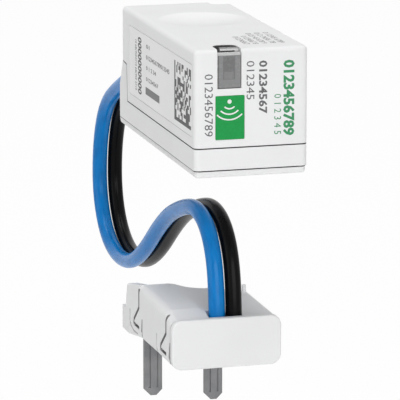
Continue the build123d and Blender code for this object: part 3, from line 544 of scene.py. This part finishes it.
def lensShading(graph, place):
    look = windowLook
    x, y, z = place.millimetres()
    wellShade = x.inside(*look["wellX"]) * z.inside(*look["wellZ"])
    guide = x.inside(*look["guideX"]) * z.inside(*look["guideZ"])
    # painted shade of the well behind the pane, with the guide's own grey in it
    pane = guide.blend(wellShade.blend(look["pane"], look["wellShade"]), look["guide"])
    # painted shade in the gap at the pane's left edge
    pane = x.ramp(*look["leftEdge"]).blend(look["edge"], pane)
    # painted highlight on the pane's rounded top edge
    pane = z.ramp(*look["highlightStrip"]).blend(pane, look["paleHighlight"])
    # painted shadow in the slot under the catch's front
    slot = z.ramp(*look["slotTop"]) * x.inside(*look["slotX"])
    # painted shade under the catch, a painted highlight on its sloping face, painted shade at its top rim and in the
    # recess behind it
    catch = z.ramp(*look["catchFoot"]).blend(slot.blend(look["paleHighlight"], look["slot"]), look["paintedShade"])
    catch = z.ramp(*look["catchRim"]).blend(catch, look["edge"])
    catch = y.ramp(*look["catchBack"]).blend(catch, look["paintedShade"])
    haze = place.noise(look["haze"])
    return {
        "Base Color": y.ramp(*look["paneBack"]).blend(pane, catch),
        "Roughness": look["roughness"] + look["spread"] * haze,
        "Normal": haze.bump(look["depth"], look["strength"]),
        "IOR": look["index"],
    }


dress(makeFinish("smokedLens", lensShading), "status_lens")
print("window dressed")


# label and badge

labelLook = {
    "colours": (rgb(0.790, 0.790, 0.790), rgb(0.765, 0.766, 0.768)), "wide": 90.0, "fade": (0.30, 0.70),
    "fibres": 1500.0, "roughness": 0.34, "spread": 0.12, "depth": 0.006 * mm, "strength": 0.4,
}
badgeLook = {
    "colours": (rgb(0.003, 0.300, 0.060), rgb(0.002, 0.275, 0.053)), "scale": 2600.0, "detail": 3.0,
    "fade": (0.30, 0.70), "roughness": 0.36, "spread": 0.12, "depth": 0.006 * mm, "strength": 0.4,
    "also": {"Specular IOR Level": 0.2},
}


def labelShading(graph, place):
    look = labelLook
    fibre = place.noise(look["fibres"], detail=3.0)
    return {
        "Base Color": place.noise(look["wide"]).ramp(*look["fade"]).blend(*look["colours"]),
        "Roughness": look["roughness"] + look["spread"] * (fibre - 0.5),
        "Normal": fibre.bump(look["depth"], look["strength"]),
    }


dress(makeFinish("labelFilm", labelShading), "side_label")
dress(makeSpeckled("greenBadge", badgeLook), "front_badge")
print("label and badge dressed")


# plain numbers and marks, printed on the label, the front, the top and the badge

inkLook = {
    "scale": 5200.0, "detail": 3.0, "fade": (0.35, 0.75), "roughness": 0.48, "spread": 0.14,
    "depth": 0.004 * mm, "strength": 0.3,
}
inks = {name: makeSpeckled(name, {**inkLook, "colours": colours}) for name, colours in {
    "darkInk": (rgb(0.080, 0.080, 0.083), rgb(0.110, 0.110, 0.113)),
    "blackInk": (rgb(0.030, 0.030, 0.032), rgb(0.050, 0.050, 0.052)),
    "greyInk": (rgb(0.120, 0.120, 0.123), rgb(0.160, 0.160, 0.163)),
    "greenInk": (rgb(0.012, 0.215, 0.075), rgb(0.014, 0.240, 0.085)),
    "whiteInk": (rgb(0.780, 0.790, 0.780), rgb(0.720, 0.730, 0.720)),
}.items()}
faces = {  # a corner of each printed face, the way its lines run, and the way up from a line
    "label": ((-9.0, 4.7, 33.75), (0, -1, 0), (0, 0, 1)),
    "column": ((-9.0, 0.0, 33.75), (0, 0, 1), (0, 1, 0)),
    "front": ((-9.0, -40.1, 53.55), (0, 0, -1), (1, 0, 0)),
    "top": ((-9.0, 4.7, 53.55), (0, -1, 0), (1, 0, 0)),
    "badge": ((-5.72, -40.1, 46.45), (1, 0, 0), (0, 0, 1)),
}
patternLook = {"seed": 11, "cells": 16, "corner": (33.2, 7.2), "size": (9.65, 9.3), "filled": 0.5}
signLook = {"centre": (2.25, -0.95), "dot": 0.34, "dotSteps": 20,
            "arcs": (1.10, 1.95, 2.80), "width": 0.22, "from": 225, "to": 315, "arcSteps": 16}
printLook = {"rise": 0.01 * mm, "curveSteps": 2}


def patternBoxes():  # runs of filled cells in random rows, with a filled left and lower edge
    random.seed(patternLook["seed"])
    cells = patternLook["cells"]
    (left, bottom), (width, height) = patternLook["corner"], patternLook["size"]
    boxes = []
    for row in range(cells):
        run = 0
        for cell in range(cells + 1):
            edge = row == 0 or cell == 0
            if cell < cells and (edge or random.random() < patternLook["filled"]):
                run += 1
            elif run:
                low = (left + (cell - run) * width / cells, bottom + row * height / cells)
                boxes.append((low, (left + cell * width / cells, bottom + (row + 1) * height / cells)))
                run = 0
    return boxes


def signArcs():  # a dot and three arcs over it: inner and outer radius, start and end in degrees, and steps
    look, half = signLook, signLook["width"] / 2
    arcs = [(radius - half, radius + half, look["from"], look["to"], look["arcSteps"]) for radius in look["arcs"]]
    return [(0, look["dot"], 0, 360, look["dotSteps"]), *arcs]


prints = {  # face, ink and slot; each line of digits has its corner, length, height and weight, in millimetres
    "labelNumbers": ("label", "greyInk", "label_film", {"lines": (
        ("01", (15.9, 15.4), 2.1, 0.65, 0.02), ("0123456789012345", (15.9, 13.6), 14.3, 0.75, 0.02),
        ("0 1 2 34", (15.9, 11.9), 6.1, 0.68, 0.02), ("01234567", (15.8, 10.1), 7.6, 0.68, 0.02))}),
    "labelBlock": ("label", "greyInk", "label_film", {"boxes": (((15.5, 7.9), (24.1, 9.1)),)}),
    "labelColumn": ("column", "blackInk", "label_film", {"lines": (
        ("0000000000", (7.2, -8.3), 9.3, 2.3, 0.03), ("0123 456789 0123456789 01", (7.5, -5.25), 8.2, 1.05, 0.0))}),
    "labelPattern": ("label", "blackInk", "label_film", {"boxes": patternBoxes()}),
    "frontNumbers": ("front", "darkInk", "black_plastic", {"lines": (
        ("0123456789", (3.7, 1.6), 9.6, 1.3, 0.0), ("012345", (1.95, 8.2), 5.95, 1.25, 0.0))}),
    "frontBoldNumbers": ("front", "darkInk", "black_plastic", {"lines": (
        ("01234567", (1.97, 10.15), 8.2, 1.35, 0.03),)}),
    "frontGreenNumbers": ("front", "greenInk", "green_badge", {"lines": (
        ("0123456789", (2.05, 14.0), 11.7, 1.85, 0.04), ("0 1 2 3 4 5", (7.25, 12.6), 6.25, 1.1, 0.0))}),
    "topNumbers": ("top", "darkInk", "black_plastic", {"lines": (
        ("01234567", (34.1, 8.9), 7.1, 0.95, 0.0), ("0 1234567 8", (33.9, 10.3), 7.3, 0.95, 0.0),
        ("0123 45 678 9", (31.6, 11.7), 9.6, 0.95, 0.0), ("012 3456 78", (31.5, 13.1), 9.7, 0.95, 0.0),
        ("0 12345 6789", (31.6, 14.5), 9.6, 0.95, 0.0))}),
    "badgeSign": ("badge", "whiteInk", "label_film", {"arcs": signArcs()}),
}


def onFace(face):  # the matrix that lays a flat drawing in millimetres on a face
    corner, along, up = (Vector(value) for value in faces[face])
    normal = along.cross(up)
    turned = Matrix((along, up, normal)).transposed().to_4x4()
    return Matrix.Translation(corner * mm + normal * printLook["rise"]) @ turned @ Matrix.Scale(mm, 4)


def writeLine(bm, text, corner, length, height, weight):  # a line of digits that fills its box
    font = bpy.data.curves.new("line", "FONT")
    font.body = text
    font.offset = weight
    font.resolution_u = printLook["curveSteps"]
    holder = bpy.data.objects.new("line", font)
    mesh = bpy.data.meshes.new_from_object(holder)
    low = [min(vertex.co[axis] for vertex in mesh.vertices) for axis in (0, 1)]
    high = [max(vertex.co[axis] for vertex in mesh.vertices) for axis in (0, 1)]
    for vertex in mesh.vertices:
        share = [(vertex.co[axis] - low[axis]) / (high[axis] - low[axis]) for axis in (0, 1)]
        vertex.co = (corner[0] + length * share[0], corner[1] + height * share[1], 0)
    bm.from_mesh(mesh)
    bpy.data.objects.remove(holder)
    bpy.data.meshes.remove(mesh)
    bpy.data.curves.remove(font)


def fillBox(bm, low, high):
    corners = ((low[0], low[1]), (high[0], low[1]), (high[0], high[1]), (low[0], high[1]))
    bm.faces.new([bm.verts.new((across, up, 0)) for across, up in corners])


def fillArc(bm, inner, outer, start, end, steps):  # around the sign's centre; an inner radius of 0 fills the middle
    centre = signLook["centre"]
    for i in range(steps):
        first, second = (radians(start + (end - start) * k / steps) for k in (i, i + 1))
        ring = [(outer, first), (outer, second), (inner, second), (inner, first)]
        points = [(centre[0] + radius * cos(angle), centre[1] + radius * sin(angle), 0) for radius, angle in ring]
        bm.faces.new([bm.verts.new(point) for point in (points if inner else points[:3])])


for name, (face, ink, slot, drawing) in prints.items():
    bm = bmesh.new()
    for line in drawing.get("lines", ()):
        writeLine(bm, *line)
    for box in drawing.get("boxes", ()):
        fillBox(bm, *box)
    for arc in drawing.get("arcs", ()):
        fillArc(bm, *arc)
    bm.transform(onFace(face))
    piece = newPiece(name, bm, inks[ink], smooth=False)
    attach(piece, "sensor_head")
print("numbers printed")


# floor, light and backdrop

stageLook = {
    "floor": -52 * mm, "size": 6.0, "paper": 0.9, "shown": 0.96,  # the share of its glow that the camera sees
    "sky": 0.20, "white": grey(1.0), "middle": Vector((0, -5 * mm, 25 * mm)),
}
lamps = {  # direction of the lamp from the middle of the object, distance, size, and the level it gives a white face
    "frontLamp": ((0.05, -0.98, 0.18), 0.85, 0.75, 0.65),
    "topLamp": ((-0.10, 0.10, 0.99), 0.85, 0.75, 0.70),
    "leftLamp": ((-0.97, -0.10, 0.20), 0.85, 0.75, 0.27),
}


def seen(graph):  # 1 for rays that see the background, 0 for those that light the object
    direct, mirrored, through = (
        graph.add("ShaderNodeLightPath", out=name)
        for name in ("Is Camera Ray", "Is Glossy Ray", "Is Transmission Ray"))
    return direct.maths("MAXIMUM", mirrored.maths("MAXIMUM", through))


paper = bpy.data.materials.new("palePaper")
paper.use_nodes = True
paper.node_tree.nodes.clear()
graph = Wire(paper.node_tree)
sheet = graph.add("ShaderNodeBsdfDiffuse", {}, {"Color": grey(stageLook["paper"])})
glow = graph.add("ShaderNodeEmission", {}, {"Color": stageLook["white"], "Strength": 1.0})
shown = graph.add("ShaderNodeMixShader", {}, {0: stageLook["shown"] * seen(graph), 1: sheet, 2: glow})
graph.add("ShaderNodeOutputMaterial", {}, {"Surface": shown})

bm = bmesh.new()
half = stageLook["size"] / 2
corners = ((-half, -half), (half, -half), (half, half), (-half, half))
bm.faces.new([bm.verts.new((x, y, stageLook["floor"])) for x, y in corners])
floor = newPiece("floor", bm, paper, smooth=False)

world = bpy.data.worlds.new("studio")
bpy.context.scene.world = world
world.use_nodes = True
world.node_tree.nodes.clear()
graph = Wire(world.node_tree)
sky = graph.add("ShaderNodeBackground", {}, {"Color": stageLook["white"], "Strength": stageLook["sky"]})
backdrop = graph.add("ShaderNodeBackground", {}, {"Color": stageLook["white"], "Strength": 1.0})
shown = graph.add("ShaderNodeMixShader", {}, {0: seen(graph), 1: sky, 2: backdrop})
graph.add("ShaderNodeOutputWorld", {}, {"Surface": shown})

for name, (direction, distance, size, level) in lamps.items():
    lamp = bpy.data.objects.new(name, bpy.data.lights.new(name, "AREA"))
    lamp.data.shape = "DISK"
    lamp.data.size = size
    lamp.data.energy = level * (pi * distance) ** 2
    lamp.location = stageLook["middle"] + distance * Vector(direction).normalized()
    lamp.rotation_euler = Vector(direction).to_track_quat("Z", "Y").to_euler()
    bpy.context.scene.collection.objects.link(lamp)

bpy.context.scene.view_settings.view_transform = "Standard"
print("stage set")
